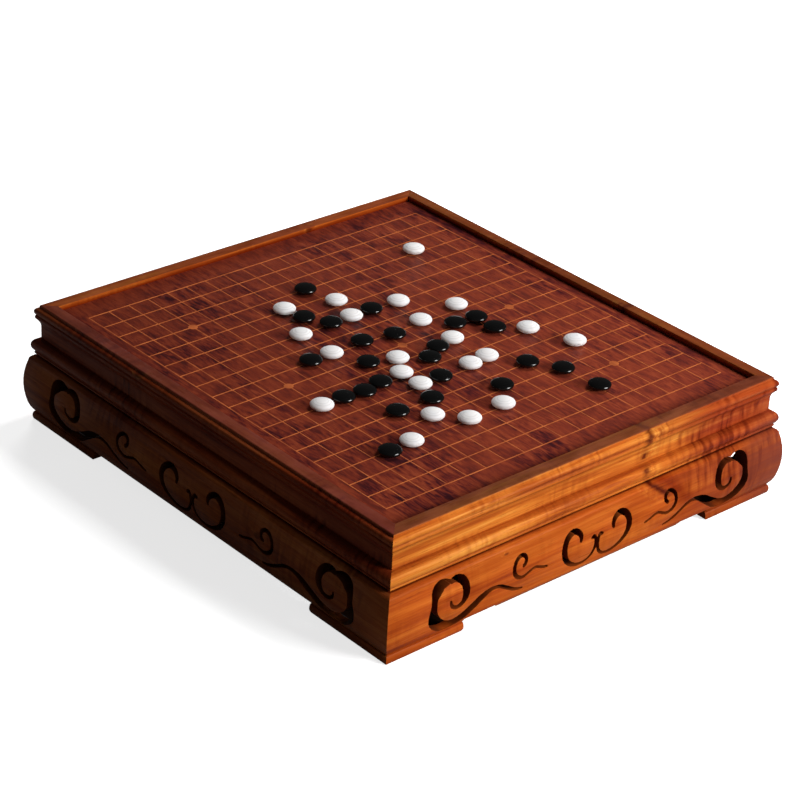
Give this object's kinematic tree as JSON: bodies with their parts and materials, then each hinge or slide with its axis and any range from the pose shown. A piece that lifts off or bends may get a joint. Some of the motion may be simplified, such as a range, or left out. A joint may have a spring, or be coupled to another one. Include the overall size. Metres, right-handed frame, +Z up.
{
  "type": "go board with stone drawers",
  "caption": "Wooden go board on a moulded, footed case with pierced scrollwork, a drawer for stones on two sides, and a game in progress.",
  "frame": {"origin": "centre of the case on the floor, under its feet", "axes": "+Z up, +Y from the front towards the back (the longer way), +X to the right"},
  "size_m": [0.4694, 0.5134, 0.1209],
  "materials": {
    "case_wood": "satin varnish",
    "panel_wood": "satin varnish",
    "inner_wood": "bare wood",
    "white_stones": "opaque white glass, gloss",
    "black_stones": "opaque black glass, gloss"
  },
  "bodies": {
    "case": {"board_panel": "panel_wood", "front_side": "case_wood", "back_side": "case_wood", "left_side": "case_wood", "right_side": "case_wood", "front_left_corner_block": "inner_wood", "front_right_corner_block": "inner_wood", "back_left_corner_block": "inner_wood", "back_right_corner_block": "inner_wood", "left_batten": "inner_wood", "front_batten": "inner_wood", "right_bay_left_cheek": "inner_wood", "right_bay_right_cheek": "inner_wood", "right_bay_left_runner": "inner_wood", "right_bay_right_runner": "inner_wood", "right_bay_back": "inner_wood", "back_bay_left_cheek": "inner_wood", "back_bay_right_cheek": "inner_wood", "back_bay_left_runner": "inner_wood", "back_bay_right_runner": "inner_wood", "back_bay_back": "inner_wood"},
    "right_drawer": {"right_drawer_face": "case_wood", "right_drawer_inner_front": "inner_wood", "right_drawer_left_side": "inner_wood", "right_drawer_right_side": "inner_wood", "right_drawer_back": "inner_wood", "right_drawer_bottom": "inner_wood"},
    "back_drawer": {"back_drawer_face": "case_wood", "back_drawer_inner_front": "inner_wood", "back_drawer_left_side": "inner_wood", "back_drawer_right_side": "inner_wood", "back_drawer_back": "inner_wood", "back_drawer_bottom": "inner_wood"},
    "white_stones": {"white_stones": "white_stones"},
    "black_stones": {"black_stones": "black_stones"}
  },
  "joints": [
    {"name": "right_drawer_slide", "type": "slide", "parent": "case", "child": "right_drawer", "axis": [1, 0, 0], "range_m": [0, 0.13]},
    {"name": "back_drawer_slide", "type": "slide", "parent": "case", "child": "back_drawer", "axis": [0, 1, 0], "range_m": [0, 0.13]},
    {"name": "white_stones_lift", "type": "slide", "parent": "case", "child": "white_stones", "axis": [0, 0, 1], "range_m": [0, 0.05]},
    {"name": "black_stones_lift", "type": "slide", "parent": "case", "child": "black_stones", "axis": [0, 0, 1], "range_m": [0, 0.05]}
  ]
}
